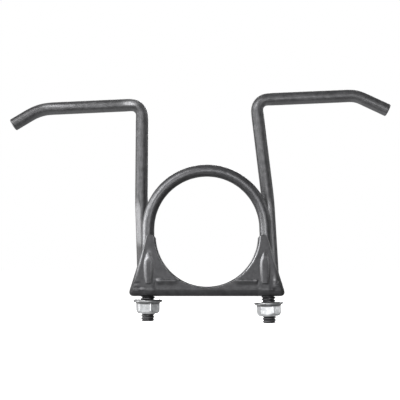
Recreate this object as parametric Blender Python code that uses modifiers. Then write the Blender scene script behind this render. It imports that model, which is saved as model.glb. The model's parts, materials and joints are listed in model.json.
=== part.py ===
"""Exhaust-pipe saddle clamp with two welded hanger rods.

A pressed steel saddle and a U-bolt close round a 76 mm exhaust pipe. Two hex flange nuts draw
the U-bolt through the saddle. Two bent round rods, welded to the saddle's rear wall, reach out
left and right to carry rubber isolators.

Frame: metres, +Z up. The origin is the centre of the clamped pipe, whose axis runs along Y.
-Y is the front of the clamp and +X is its right-hand side.
"""

import math

import bmesh
import bpy
from mathutils import Matrix, Vector

# Clamped pipe and saddle
PIPE_RADIUS = 0.0381
WALL_Y = 0.011  # outer face of each side wall
SHEET = 0.0028
SADDLE_BOTTOM = -0.04435
HORN_TOP = 0.0
HORN_WIDTH = 0.0053
FLANK_SLOPE = 0.31  # how far a flank moves out for each unit of depth
HORN_CORNER_RADIUS = 0.0022
FOLD_RADIUS = 0.0042  # outer radius of the folds between walls, flanks and web

# Pressed rib over each leg, on both walls
RIB_X = 0.0417
RIB_Z = -0.0235
RIB_HALF = Vector((0.0031, 0.0017, 0.0123))
RIB_HOLLOW_HALF = Vector((0.0021, 0.0013, 0.0105))

# U-bolt
WIRE_RADIUS = 0.0045
THREAD_RADIUS = 0.0050
THREAD_PITCH = 0.0020
BEND_RADIUS = 0.0430
BEND_CENTRE_Z = 0.0044
LEFT_LEG_END_Z = -0.0626
RIGHT_LEG_END_Z = -0.0639
THREAD_LENGTH = 0.034
LEFT_LEG_SPLAY = 0.0
RIGHT_LEG_SPLAY = math.radians(2.1)
LEG_END_CHAMFER = 0.0009

# Slots in the saddle for the legs
LEG_SLOT_X = 0.0439
LEG_SLOT_HALF = Vector((0.0066, 0.0058))
FLANK_SLOT_HALF_Y = 0.0061
FLANK_SLOT_FOOT_Z = -0.0310

# Hex flange nuts
NUT_HEIGHT = 0.0101
NUT_ACROSS_FLATS = 0.0158
NUT_FLANGE_RADIUS = 0.0106
NUT_FLANGE_RIM = 0.0013
NUT_CONE_RADIUS = 0.0080
NUT_CONE_HEIGHT = 0.0030
NUT_BORE_RADIUS = 0.0056
LEFT_NUT_TOP_Z = -0.04695
RIGHT_NUT_TOP_Z = -0.0487
NUT_TURN = math.radians(18.0)  # puts a flat at the front, 12 degrees round to the left

# Hanger rods: corners of the centreline (x, z), lower end last
ROD_RADIUS = 0.00476  # 3/8 inch bar
ROD_Y = 0.0161
ROD_CORNER_RADIUS = 0.0080
LEFT_END_BEND_RADIUS = 0.0340
RIGHT_END_BEND_RADIUS = 0.0200
ROD_KNEE_RADIUS = 0.0400
LEFT_ROD = ((-0.1475, 0.0839), (-0.1272, 0.0962), (-0.04915, 0.0997),
            (-0.0494, 0.0290), (-0.04755, -0.0222), (-0.0470, -0.0394))
RIGHT_ROD = ((0.1378, 0.0947), (0.1134, 0.1063), (0.0373, 0.1031),
             (0.0459, 0.0290), (0.0487, -0.0222), (0.0496, -0.0394))
ROD_INNER_BEND_RADII = (ROD_CORNER_RADIUS, ROD_KNEE_RADIUS, ROD_KNEE_RADIUS)

# Weld beads along each rod: (offset from the rod's centreline towards the clamp's middle,
# depth of the bead's centre, bead radius, top, bottom)
INNER_WELD = (0.00680, 0.0149, 0.0018, -0.0130, -0.0350)
LEFT_OUTER_WELD = (-0.0060, 0.0130, 0.0016, -0.0340, -0.0395)
RIGHT_OUTER_WELD = (-0.0051, 0.0118, 0.0016, -0.0350, -0.0395)

# Facets
ROUND_SIDES = 24
BEND_STEP = math.radians(7.5)

parts = bpy.data.collections.new("exhaust_saddle_clamp")
cutters = bpy.data.collections.new("cutters")


# ---------------------------------------------------------------- scene and materials

def clear_scene():
    for old in list(bpy.data.objects):
        bpy.data.objects.remove(old, do_unlink=True)
    for collection in (parts, cutters):
        bpy.context.scene.collection.children.link(collection)


def make_material(name, colour, roughness, metallic):
    material = bpy.data.materials.new(name)
    material.use_nodes = True
    shader = material.node_tree.nodes["Principled BSDF"]
    shader.inputs["Base Color"].default_value = (*colour, 1.0)
    shader.inputs["Roughness"].default_value = roughness
    shader.inputs["Metallic"].default_value = metallic
    return material


# ---------------------------------------------------------------- mesh helpers

def add_object(name, mesh, collection, material=None, place=Matrix()):
    thing = bpy.data.objects.new(name, mesh)
    collection.objects.link(thing)
    thing.matrix_world = place
    if material:
        mesh.materials.clear()
        mesh.materials.append(material)
        mesh.shade_smooth()
        mesh.set_sharp_from_angle(angle=math.radians(35))
    return thing


def mesh_from(bm, name):
    bmesh.ops.recalc_face_normals(bm, faces=bm.faces)
    mesh = bpy.data.meshes.new(name)
    bm.to_mesh(mesh)
    bm.free()
    return mesh


def add_cutter(name, mesh, place=Matrix()):
    cutter = add_object(name, mesh, cutters, place=place)
    cutter.hide_render = True
    cutter.display_type = "WIRE"
    return cutter


def combine(target, tool, operation):
    modifier = target.modifiers.new(f"{operation.lower()}_{tool.name}", "BOOLEAN")
    modifier.operation = operation
    modifier.solver = "EXACT"
    modifier.object = tool


def extruded(outline, half_depth):
    """A flat (x, z) outline, extruded along Y to both sides of the XZ plane."""
    bm = bmesh.new()
    face = bm.faces.new([bm.verts.new((x, -half_depth, z)) for x, z in outline])
    swept = bmesh.ops.extrude_face_region(bm, geom=[face])
    moved = [v for v in swept["geom"] if isinstance(v, bmesh.types.BMVert)]
    bmesh.ops.translate(bm, verts=moved, vec=(0, 2 * half_depth, 0))
    bmesh.ops.recalc_face_normals(bm, faces=bm.faces)
    return bm


def cylinder(radius, height, name, sides=ROUND_SIDES):
    bm = bmesh.new()
    bmesh.ops.create_cone(bm, cap_ends=True, segments=sides,
                          radius1=radius, radius2=radius, depth=height)
    return mesh_from(bm, name)


def rounded_corner(before, corner, after, radius, step=BEND_STEP):
    """Points of the arc of the given radius that rounds a corner between two straight runs."""
    corner = Vector(corner)
    towards_before = (Vector(before) - corner).normalized()
    towards_after = (Vector(after) - corner).normalized()
    half_angle = towards_before.angle(towards_after) / 2
    centre = corner + (towards_before + towards_after).normalized() * radius / math.sin(half_angle)
    tangent_length = radius / math.tan(half_angle)
    first_spoke = corner + towards_before * tangent_length - centre
    last_spoke = corner + towards_after * tangent_length - centre
    turn = math.copysign(math.pi - 2 * half_angle, first_spoke.cross(last_spoke))
    count = max(2, math.ceil(abs(turn) / step))
    return [centre + Matrix.Rotation(turn * i / count, 2) @ first_spoke
            for i in range(count + 1)]


def rounded_path(corners, radii):
    """A run through the corners, each inner corner rounded to its own radius."""
    points = [Vector(corners[0])]
    for before, corner, after, radius in zip(corners, corners[1:], corners[2:], radii):
        points += rounded_corner(before, corner, after, radius)
    return points + [Vector(corners[-1])]


def tube(name, points, radius, material, widths=None):
    """A round bar along a run of points, turned into a closed mesh. Widths scale its radius."""
    curve = bpy.data.curves.new(name, "CURVE")
    curve.dimensions = "3D"
    curve.bevel_depth = radius
    curve.bevel_resolution = ROUND_SIDES // 4 - 1
    curve.use_fill_caps = True
    spline = curve.splines.new("POLY")
    spline.points.add(len(points) - 1)
    for index, (point, place) in enumerate(zip(spline.points, points)):
        point.co = (*place, 1)
        point.radius = widths[index] if widths else 1
    guide = bpy.data.objects.new(name + "_curve", curve)
    bpy.context.scene.collection.objects.link(guide)
    graph = bpy.context.evaluated_depsgraph_get()
    mesh = bpy.data.meshes.new_from_object(guide.evaluated_get(graph))
    place = guide.matrix_world.copy()
    bpy.data.objects.remove(guide, do_unlink=True)
    bm = bmesh.new()
    bm.from_mesh(mesh)
    bmesh.ops.remove_doubles(bm, verts=bm.verts, dist=1e-6)
    bmesh.ops.recalc_face_normals(bm, faces=bm.faces)
    bm.to_mesh(mesh)
    bm.free()
    mesh.name = name
    return add_object(name, mesh, parts, material, place)


# ---------------------------------------------------------------- saddle

def flank_x(z):
    return PIPE_RADIUS + HORN_WIDTH + FLANK_SLOPE * (HORN_TOP - z)


def saddle_outline(inset, top):
    """The front outline without the pipe seat, moved in by the inset on its flanks and foot."""
    lean = math.hypot(1, FLANK_SLOPE)
    bottom = SADDLE_BOTTOM + inset
    head = (flank_x(top) - inset * lean, top)
    foot = (flank_x(bottom) - inset * lean, bottom)
    right = rounded_corner((0, top), head, foot, HORN_CORNER_RADIUS, math.radians(30)) + [foot]
    return [(x, z) for x, z in right] + [(-x, z) for x, z in reversed(right)]


def folded_block(inset, top, half_depth, fold, name):
    """A block with every edge of its flanks and foot folded round, and its top left sharp."""
    bm = extruded(saddle_outline(inset, top), half_depth)
    fold_top = top - 2 * HORN_CORNER_RADIUS
    edges = [e for e in bm.edges if sum(v.co.z for v in e.verts) / 2 < fold_top]
    bmesh.ops.bevel(bm, geom=edges, offset=fold, segments=4, profile=0.5, affect="EDGES")
    return mesh_from(bm, name)


def ellipsoid(half, name):
    bm = bmesh.new()
    bmesh.ops.create_uvsphere(bm, u_segments=12, v_segments=10, radius=1)
    bmesh.ops.scale(bm, verts=bm.verts, vec=half)
    return mesh_from(bm, name)


def build_saddle(steel):
    saddle = add_object("saddle", folded_block(0, HORN_TOP, WALL_Y, FOLD_RADIUS, "saddle"),
                        parts, steel)
    for side in (-1, 1):
        for face in (-1, 1):
            rib = add_cutter(f"rib_{side}_{face}", ellipsoid(RIB_HALF, "rib"),
                             Matrix.Translation((side * RIB_X, face * WALL_Y, RIB_Z)))
            combine(saddle, rib, "UNION")

    cavity_top = HORN_TOP + 2 * SHEET
    cavity = add_cutter("channel", folded_block(SHEET, cavity_top, WALL_Y - SHEET,
                                                FOLD_RADIUS - SHEET, "channel"))
    combine(saddle, cavity, "DIFFERENCE")

    seat_turn = Matrix.Rotation(math.radians(90), 4, "X")
    seat = add_cutter("seat", cylinder(PIPE_RADIUS, 4 * WALL_Y, "seat", sides=96), seat_turn)
    combine(saddle, seat, "DIFFERENCE")

    for side in (-1, 1):
        for face in (-1, 1):
            inner = face * (WALL_Y - SHEET)
            hollow = add_cutter(f"rib_hollow_{side}_{face}", ellipsoid(RIB_HOLLOW_HALF, "hollow"),
                                Matrix.Translation((side * RIB_X, inner, RIB_Z)))
            combine(saddle, hollow, "DIFFERENCE")
        stretch = Matrix.Diagonal((LEG_SLOT_HALF.x / LEG_SLOT_HALF.y, 1, 1, 1))
        leg_slot = add_cutter(f"leg_slot_{side}", cylinder(LEG_SLOT_HALF.y, 4 * SHEET, "leg_slot"),
                              Matrix.Translation((side * LEG_SLOT_X, 0, SADDLE_BOTTOM)) @ stretch)
        combine(saddle, leg_slot, "DIFFERENCE")
        flank_slot = add_cutter(f"flank_slot_{side}", flank_slot_mesh(side))
        combine(saddle, flank_slot, "DIFFERENCE")
    return saddle


def flank_slot_mesh(side):
    """A round-footed slot through the flank, open at the top, that the leg stands in."""
    half = FLANK_SLOT_HALF_Y
    foot = FLANK_SLOT_FOOT_Z + half
    outline = [(half * math.cos(a), foot - half * math.sin(a))
               for a in (math.pi * i / 8 for i in range(9))]
    outline += [(-half, HORN_TOP + half), (half, HORN_TOP + half)]
    bm = bmesh.new()
    near = PIPE_RADIUS
    far = flank_x(SADDLE_BOTTOM) + SHEET
    face = bm.faces.new([bm.verts.new((side * near, y, z)) for y, z in outline])
    swept = bmesh.ops.extrude_face_region(bm, geom=[face])
    moved = [v for v in swept["geom"] if isinstance(v, bmesh.types.BMVert)]
    bmesh.ops.translate(bm, verts=moved, vec=(side * (far - near), 0, 0))
    return mesh_from(bm, "flank_slot")


# ---------------------------------------------------------------- U-bolt

def leg_point(side, splay, z):
    """A point on a leg's centreline, at a height below the bend."""
    drop = BEND_CENTRE_Z - z
    return Vector((side * (BEND_RADIUS + drop * math.tan(splay)), 0, z))


def leg_run(side, splay, end_z):
    """Centreline points and widths of one leg, from its end up to the bend."""
    thread = THREAD_RADIUS / WIRE_RADIUS
    tip = (THREAD_RADIUS - LEG_END_CHAMFER) / WIRE_RADIUS
    run_out = end_z + THREAD_LENGTH
    stations = ((end_z, tip), (end_z + LEG_END_CHAMFER, thread), (run_out, thread),
                (run_out + THREAD_PITCH / 2, 1.0))
    return [(leg_point(side, splay, z), width) for z, width in stations]


def build_u_bolt(steel):
    left = leg_run(-1, LEFT_LEG_SPLAY, LEFT_LEG_END_Z)
    right = leg_run(1, RIGHT_LEG_SPLAY, RIGHT_LEG_END_Z)
    start = math.pi + LEFT_LEG_SPLAY
    end = -RIGHT_LEG_SPLAY
    count = math.ceil((start - end) / BEND_STEP)
    arc = []
    for i in range(count + 1):
        angle = start + (end - start) * i / count
        arc.append((Vector((BEND_RADIUS * math.cos(angle), 0,
                            BEND_CENTRE_Z + BEND_RADIUS * math.sin(angle))), 1.0))
    run = left + arc + right[::-1]
    return tube("u_bolt", [p for p, _ in run], WIRE_RADIUS, steel, [w for _, w in run])


# ---------------------------------------------------------------- nuts

def build_nut(name, centre, splay, zinc):
    """A hex flange nut with its flange uppermost, turned on the leg's own axis."""
    hex_radius = NUT_ACROSS_FLATS / 2 / math.cos(math.pi / 6)
    bm = bmesh.new()
    bmesh.ops.create_cone(bm, cap_ends=True, segments=6, radius1=hex_radius,
                          radius2=hex_radius, depth=NUT_HEIGHT)
    bmesh.ops.translate(bm, verts=bm.verts, vec=(0, 0, -NUT_HEIGHT / 2))
    rim = [e for e in bm.edges if all(v.co.z < -NUT_HEIGHT / 2 for v in e.verts)]
    bmesh.ops.bevel(bm, geom=rim, offset=0.0007, segments=1, affect="EDGES")
    place = (Matrix.Translation(centre) @ Matrix.Rotation(-splay, 4, "Y")
             @ Matrix.Rotation(NUT_TURN, 4, "Z"))
    nut = add_object(name, mesh_from(bm, name), parts, zinc, place)

    flange_profile = ((0.0, 0.0), (NUT_FLANGE_RADIUS - 0.0004, 0.0),
                      (NUT_FLANGE_RADIUS, -0.0004), (NUT_FLANGE_RADIUS, -NUT_FLANGE_RIM),
                      (NUT_CONE_RADIUS, -NUT_CONE_HEIGHT), (0.0, -NUT_CONE_HEIGHT))
    bm = bmesh.new()
    verts = [bm.verts.new((r, 0, z)) for r, z in flange_profile]
    for a, b in zip(verts, verts[1:]):
        bm.edges.new((a, b))
    mesh = bpy.data.meshes.new("flange")
    bm.to_mesh(mesh)
    bm.free()
    flange = add_cutter(name + "_flange", mesh, place)
    turn = flange.modifiers.new("turn", "SCREW")
    turn.steps = 32
    turn.render_steps = 32
    turn.use_merge_vertices = True
    turn.merge_threshold = 0.00001
    combine(nut, flange, "UNION")

    bore = add_cutter(name + "_bore", cylinder(NUT_BORE_RADIUS, 3 * NUT_HEIGHT, "bore"), place)
    combine(nut, bore, "DIFFERENCE")
    return nut


# ---------------------------------------------------------------- hanger rods and welds

def build_rod(name, corners, end_bend_radius, steel):
    path = rounded_path(corners, (end_bend_radius, *ROD_INNER_BEND_RADII))
    return tube(name, [Vector((p.x, ROD_Y, p.y)) for p in path], ROD_RADIUS, steel)


def rod_x(corners, z):
    """Where the lowest straight runs of a rod's centreline stand at a height."""
    for (x_top, z_top), (x_low, z_low) in zip(corners[2:], corners[3:]):
        if z >= z_low:
            return x_top + (x_low - x_top) * (z_top - z) / (z_top - z_low)
    return corners[-1][0]


def build_weld(name, corners, weld, steel):
    """A bead beside the rod, full in the middle and rounded off at both ends."""
    offset, depth, radius, top, bottom = weld
    inward = math.copysign(1, -corners[-1][0])
    count = 12
    points = []
    widths = []
    for i in range(count + 1):
        along = -math.cos(math.pi * i / count)
        z = (top + bottom) / 2 + (top - bottom) / 2 * along
        points.append(Vector((rod_x(corners, z) + inward * offset, depth, z)))
        widths.append(max(0.25, (1 - along ** 6) ** 0.5))
    return tube(name, points, radius, steel, widths)


def main():
    clear_scene()
    mill_steel = make_material("mill_scale_steel", (0.14, 0.14, 0.145), 0.45, 0.9)
    bolt_steel = make_material("bolt_steel", (0.11, 0.11, 0.115), 0.40, 0.9)
    weld_steel = make_material("weld_steel", (0.20, 0.20, 0.21), 0.50, 0.9)
    zinc = make_material("bright_zinc", (0.75, 0.76, 0.77), 0.25, 1.0)

    build_saddle(mill_steel)
    build_u_bolt(bolt_steel)
    build_nut("left_flange_nut", leg_point(-1, LEFT_LEG_SPLAY, LEFT_NUT_TOP_Z),
              -LEFT_LEG_SPLAY, zinc)
    build_nut("right_flange_nut", leg_point(1, RIGHT_LEG_SPLAY, RIGHT_NUT_TOP_Z),
              RIGHT_LEG_SPLAY, zinc)
    build_rod("left_hanger_rod", LEFT_ROD, LEFT_END_BEND_RADIUS, mill_steel)
    build_rod("right_hanger_rod", RIGHT_ROD, RIGHT_END_BEND_RADIUS, mill_steel)
    build_weld("left_rod_inner_weld", LEFT_ROD, INNER_WELD, weld_steel)
    build_weld("left_rod_outer_weld", LEFT_ROD, LEFT_OUTER_WELD, weld_steel)
    build_weld("right_rod_inner_weld", RIGHT_ROD, INNER_WELD, weld_steel)
    build_weld("right_rod_outer_weld", RIGHT_ROD, RIGHT_OUTER_WELD, weld_steel)


main()
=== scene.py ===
"""The looks of an exhaust saddle clamp with two hanger rods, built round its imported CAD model.

Lengths are in metres. A pair of numbers that smoothstep or band reads is where a change starts
and where it ends.
"""
import json
import math

import bmesh
import bpy
import numpy as np
from mathutils import Matrix, Vector, noise


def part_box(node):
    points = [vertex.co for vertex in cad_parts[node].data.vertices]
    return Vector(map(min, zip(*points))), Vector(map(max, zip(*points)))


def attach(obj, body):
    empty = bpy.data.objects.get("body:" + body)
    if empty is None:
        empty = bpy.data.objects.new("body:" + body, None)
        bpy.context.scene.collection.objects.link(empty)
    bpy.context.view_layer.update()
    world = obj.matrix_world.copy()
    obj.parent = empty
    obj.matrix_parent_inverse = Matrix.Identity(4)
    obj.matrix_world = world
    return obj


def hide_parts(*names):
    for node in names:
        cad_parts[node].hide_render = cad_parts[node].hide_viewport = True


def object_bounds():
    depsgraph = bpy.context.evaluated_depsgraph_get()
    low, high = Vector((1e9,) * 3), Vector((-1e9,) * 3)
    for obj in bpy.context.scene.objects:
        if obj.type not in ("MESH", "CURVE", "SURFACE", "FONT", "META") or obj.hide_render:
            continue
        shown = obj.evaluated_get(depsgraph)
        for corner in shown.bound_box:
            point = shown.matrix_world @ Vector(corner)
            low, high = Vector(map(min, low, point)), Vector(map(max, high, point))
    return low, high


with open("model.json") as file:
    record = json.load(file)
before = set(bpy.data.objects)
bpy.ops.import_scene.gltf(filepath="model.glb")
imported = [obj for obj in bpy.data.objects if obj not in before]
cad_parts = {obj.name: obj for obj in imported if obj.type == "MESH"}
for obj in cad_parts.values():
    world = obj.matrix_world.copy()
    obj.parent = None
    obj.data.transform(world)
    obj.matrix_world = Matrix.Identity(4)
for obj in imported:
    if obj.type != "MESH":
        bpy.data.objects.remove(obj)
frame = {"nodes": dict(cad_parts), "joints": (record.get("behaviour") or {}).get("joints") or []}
cad_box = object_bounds()


# ---------------------------------------------------------------- helpers

Y_AXIS = np.array([0.0, 1.0, 0.0])
NOISE_SHIFT = (13.7, 7.3, 3.1)  # how far each step of the seed moves the noise


def smoothstep(start, end, value):
    """0 before the start, 1 past the end, and a smooth rise between them."""
    t = np.clip((value - start) / (end - start), 0.0, 1.0)
    return t * t * (3 - 2 * t)


def band(value, rise, fall):
    """1 between two edges, over which it rises and falls."""
    return smoothstep(*rise, value) * (1 - smoothstep(*fall, value))


def spot(x, z, at_x, at_z, reach_x, reach_z):
    """A spot in the front view: 1 in its middle, and fading over its reach."""
    return np.exp(-(((x - at_x) / reach_x) ** 2 + ((z - at_z) / reach_z) ** 2))


def smooth_max(a, b, softness):
    """The larger of two values, with the corner where they cross eased."""
    gap = np.abs(a - b)
    return np.maximum(a, b) + np.maximum(softness - gap, 0.0) ** 2 / (4 * softness)


def mesh_points(mesh):
    """A mesh's points, as rows of x, y and z."""
    flat = np.empty(3 * len(mesh.vertices))
    mesh.vertices.foreach_get("co", flat)
    return flat.reshape(-1, 3)


def node_points(node):
    """The corner points of a CAD node's mesh."""
    return mesh_points(frame["nodes"][node].data)


def field_noise(points, scale, seed):
    """Smooth noise between -1 and 1 at each point."""
    offset = Vector([seed * step for step in NOISE_SHIFT])
    return np.array([noise.noise(Vector(p) * scale + offset) for p in points])


def add_piece(name, mesh, body, slot_name, material, *nodes):
    """Puts a mesh in the scene as a piece that rides on a body and replaces CAD nodes."""
    piece = bpy.data.objects.new(name, mesh)
    bpy.context.scene.collection.objects.link(piece)
    mesh.materials.clear()
    mesh.materials.append(material)
    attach(piece, body)
    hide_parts(*nodes)
    return piece


def store(mesh, name, kind, values):
    """Keeps a value for each point of a mesh, for its material to read."""
    layer = mesh.attributes.new(name, kind, "POINT")
    key = "vector" if kind == "FLOAT_VECTOR" else "value"
    layer.data.foreach_set(key, np.asarray(values, dtype=np.float32).ravel())


def skin(name, rings, sharp_angle, joined=False):
    """A closed skin through rings of points, capped at both ends or joined end to end."""
    count, sides = rings.shape[:2]
    faces = []
    for i in range(count if joined else count - 1):
        low = i * sides
        high = (i + 1) % count * sides
        faces += [(low + j, low + (j + 1) % sides, high + (j + 1) % sides, high + j)
                  for j in range(sides)]
    if not joined:
        faces.append(tuple(reversed(range(sides))))
        faces.append(tuple(range((count - 1) * sides, count * sides)))
    mesh = bpy.data.meshes.new(name)
    mesh.from_pydata(rings.reshape(-1, 3).tolist(), [], faces)
    bm = bmesh.new()
    bm.from_mesh(mesh)
    bmesh.ops.recalc_face_normals(bm, faces=bm.faces)
    bm.to_mesh(mesh)
    bm.free()
    mesh.shade_smooth()
    mesh.set_sharp_from_angle(angle=math.radians(sharp_angle))
    return mesh


def reach_of(path):
    """How far along a polyline each of its points lies."""
    runs = np.linalg.norm(np.diff(path, axis=0), axis=1)
    return np.concatenate([[0.0], np.cumsum(runs)])


def points_at(path, reach, stations):
    """Points of a polyline at the given distances along it."""
    return np.stack([np.interp(stations, reach, path[:, k]) for k in range(3)], axis=1)


def flat_normals(tangents):
    """Tangents in the XZ plane, each turned by a quarter turn."""
    return np.stack([-tangents[:, 2], np.zeros(len(tangents)), tangents[:, 0]], axis=1)


def swept(points, normals, across, depth):
    """A ring of points round each point of a run, offset along its normal and along Y."""
    return points[:, None, :] + across[..., None] * normals[:, None, :] + depth[..., None] * Y_AXIS


def ring_angles(sides):
    """Evenly spaced angles round a ring, as one row."""
    return (np.arange(sides) * 2 * math.pi / sides)[None, :]


# ---------------------------------------------------------------- materials

# a texture's scale is in noise cells to the metre, and a range is the part of its noise that counts
BLOTCH_SCALE = 260.0
BLOTCH_RANGE = (0.35, 0.68)
SPECKLE_SCALE = 1900.0
FLECK_RANGE = (0.60, 0.80)
STREAK_SCALE = 1500.0
STREAK_STRETCH = 0.035  # the streaks' scale along the bar, against across it
STREAK_RANGE = (0.52, 0.75)
RAGGED_RANGE = (0.30, 0.60)
RAGGED_SHARE = (0.35, 1.3)  # how much of the wear shows, at the range's two ends
# the dark colour that painted shade mixes towards
SHADE_COLOUR = (0.022, 0.021, 0.021)
STEEL_METALLIC = 0.88
ROUGHNESS_RANGE = (0.3, 0.7)
STEEL_SMOOTHER = 0.08  # how far the roughness strays below and above the steel's own
STEEL_ROUGHER = 0.10
WORN_POLISH = 0.14  # how much less rough a worn spot is
SPECKLE_HEIGHT = 0.6
STREAK_HEIGHT = 0.4

CLOUD_SCALE = 420.0
CLOUD_RANGE = (0.35, 0.65)
ZINC_GRAIN_SCALE = 2600.0
ZINC_ROUGHNESS = (0.26, 0.40)
ZINC_DULL = (0.44, 0.45, 0.46)
ZINC_BRIGHT = (0.70, 0.71, 0.72)
# the grey of the nuts' painted shade
SHADE_GREY = (0.12, 0.12, 0.12)
SHADE_RANGE = (0.30, 0.62)
SHADE_SHARE = (0.45, 1.2)

WELD_PATCH_SCALE = 700.0
WELD_PATCH_RANGE = (0.35, 0.65)
WELD_GRAIN_SCALE = 2400.0
WELD_ROUGHNESS = (0.35, 0.55)
WELD_SOOTY = (0.055, 0.052, 0.050)
WELD_CLEAN = (0.20, 0.20, 0.205)
WELD_METALLIC = 0.85

# a Mix node's colour sockets, by number
MIX_FROM = 6
MIX_TO = 7
MIX_RESULT = 2


def new_material(name):
    material = bpy.data.materials.new(name)
    material.use_nodes = True
    tree = material.node_tree
    return material, tree, tree.nodes["Principled BSDF"]


def noise_node(tree, coords, scale, detail=5.0, roughness=0.6):
    node = tree.nodes.new("ShaderNodeTexNoise")
    node.inputs["Scale"].default_value = scale
    node.inputs["Detail"].default_value = detail
    node.inputs["Roughness"].default_value = roughness
    tree.links.new(coords, node.inputs["Vector"])
    return node.outputs["Fac"]


def ramp(tree, value, low, high, to_low=0.0, to_high=1.0):
    """Maps one range of a value onto another, and holds it at both ends."""
    node = tree.nodes.new("ShaderNodeMapRange")
    for key, number in (("From Min", low), ("From Max", high),
                        ("To Min", to_low), ("To Max", to_high)):
        node.inputs[key].default_value = number
    tree.links.new(value, node.inputs["Value"])
    return node.outputs["Result"]


def math_node(tree, operation, a, b):
    """One operation on two numbers or sockets, its result held between 0 and 1."""
    node = tree.nodes.new("ShaderNodeMath")
    node.operation = operation
    node.use_clamp = True
    for socket, value in zip(node.inputs, (a, b)):
        if isinstance(value, (int, float)):
            socket.default_value = value
        else:
            tree.links.new(value, socket)
    return node.outputs[0]


def mix_colour(tree, factor, a, b):
    """A mix of two colours or sockets."""
    node = tree.nodes.new("ShaderNodeMix")
    node.data_type = "RGBA"
    tree.links.new(factor, node.inputs["Factor"])
    for socket, value in ((node.inputs[MIX_FROM], a), (node.inputs[MIX_TO], b)):
        if isinstance(value, tuple):
            socket.default_value = (*value, 1.0)
        else:
            tree.links.new(value, socket)
    return node.outputs[MIX_RESULT]


def stretched(tree, coords, along):
    node = tree.nodes.new("ShaderNodeMapping")
    node.inputs["Scale"].default_value = (1.0, 1.0, along)
    tree.links.new(coords, node.inputs["Vector"])
    return node.outputs["Vector"]


def bump_into(tree, shader, height, strength, distance):
    node = tree.nodes.new("ShaderNodeBump")
    node.inputs["Strength"].default_value = strength
    node.inputs["Distance"].default_value = distance
    tree.links.new(height, node.inputs["Height"])
    tree.links.new(node.outputs["Normal"], shader.inputs["Normal"])


def attribute(tree, name):
    node = tree.nodes.new("ShaderNodeAttribute")
    node.attribute_name = name
    return node


def mill_scale_steel(name, dark, light, bare_and_highlight, rough, streaks, fleck):
    """Hot-rolled steel: blotched grey scale, fine speckle, streaks, bare worn spots with painted
    highlights, and painted shade.
    """
    material, tree, shader = new_material(name)
    lay = attribute(tree, "lay").outputs["Vector"]
    # wear, with painted highlights and painted reflection mixed in
    wear_and_painted_light = attribute(tree, "wear_and_painted_light").outputs["Fac"]
    # painted shade, read from its own attribute
    painted_shade = attribute(tree, "painted_shade").outputs["Fac"]
    blotch = ramp(tree, noise_node(tree, lay, BLOTCH_SCALE), *BLOTCH_RANGE)
    speckle = noise_node(tree, lay, SPECKLE_SCALE, detail=3.0, roughness=0.7)
    lines = noise_node(tree, stretched(tree, lay, STREAK_STRETCH), STREAK_SCALE,
                       detail=4.0, roughness=0.65)
    scale_colour = mix_colour(tree, blotch, dark, light)
    flecks = ramp(tree, speckle, *FLECK_RANGE, to_high=fleck)
    scale_colour = mix_colour(tree, flecks, scale_colour, bare_and_highlight)
    streak = ramp(tree, lines, *STREAK_RANGE, to_high=streaks)
    scale_colour = mix_colour(tree, streak, scale_colour, bare_and_highlight)
    # the worn colour also holds painted highlights and painted reflection
    ragged_wear_and_light = math_node(tree, "MULTIPLY", wear_and_painted_light,
                       ramp(tree, speckle, *RAGGED_RANGE, *RAGGED_SHARE))
    worn_and_lit_colour = mix_colour(tree, ragged_wear_and_light, scale_colour, bare_and_highlight)
    # painted shade, mixed in towards a dark colour
    tree.links.new(mix_colour(tree, painted_shade, worn_and_lit_colour, SHADE_COLOUR), shader.inputs["Base Color"])
    shader.inputs["Metallic"].default_value = STEEL_METALLIC
    roughness = ramp(tree, speckle, *ROUGHNESS_RANGE,
                     rough - STEEL_SMOOTHER, rough + STEEL_ROUGHER)
    polish = math_node(tree, "MULTIPLY", ragged_wear_and_light, WORN_POLISH)
    tree.links.new(math_node(tree, "SUBTRACT", roughness, polish), shader.inputs["Roughness"])
    height = math_node(tree, "ADD", math_node(tree, "MULTIPLY", speckle, SPECKLE_HEIGHT),
                       math_node(tree, "MULTIPLY", lines, STREAK_HEIGHT * streaks))
    bump_into(tree, shader, height, strength=0.55, distance=0.00012)
    return material


def bright_zinc():
    """Bright zinc plating: pale metal with a cloudy bloom, and painted shade at the flange's rim and
    in the fillet under it.
    """
    material, tree, shader = new_material("bright_zinc")
    lay = attribute(tree, "lay").outputs["Vector"]
    cloud = noise_node(tree, lay, CLOUD_SCALE, detail=4.0)
    grain = noise_node(tree, lay, ZINC_GRAIN_SCALE, detail=3.0, roughness=0.7)
    colour = mix_colour(tree, ramp(tree, cloud, *CLOUD_RANGE), ZINC_DULL, ZINC_BRIGHT)
    # painted shade at the flange's rim and in the fillet under it
    painted_nut_shade = math_node(tree, "MULTIPLY", attribute(tree, "wear_and_painted_light").outputs["Fac"],
                      ramp(tree, cloud, *SHADE_RANGE, *SHADE_SHARE))
    tree.links.new(mix_colour(tree, painted_nut_shade, colour, SHADE_GREY), shader.inputs["Base Color"])
    shader.inputs["Metallic"].default_value = 1.0
    roughness = ramp(tree, grain, *ROUGHNESS_RANGE, *ZINC_ROUGHNESS)
    tree.links.new(roughness, shader.inputs["Roughness"])
    bump_into(tree, shader, cloud, strength=0.30, distance=0.00010)
    return material


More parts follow.
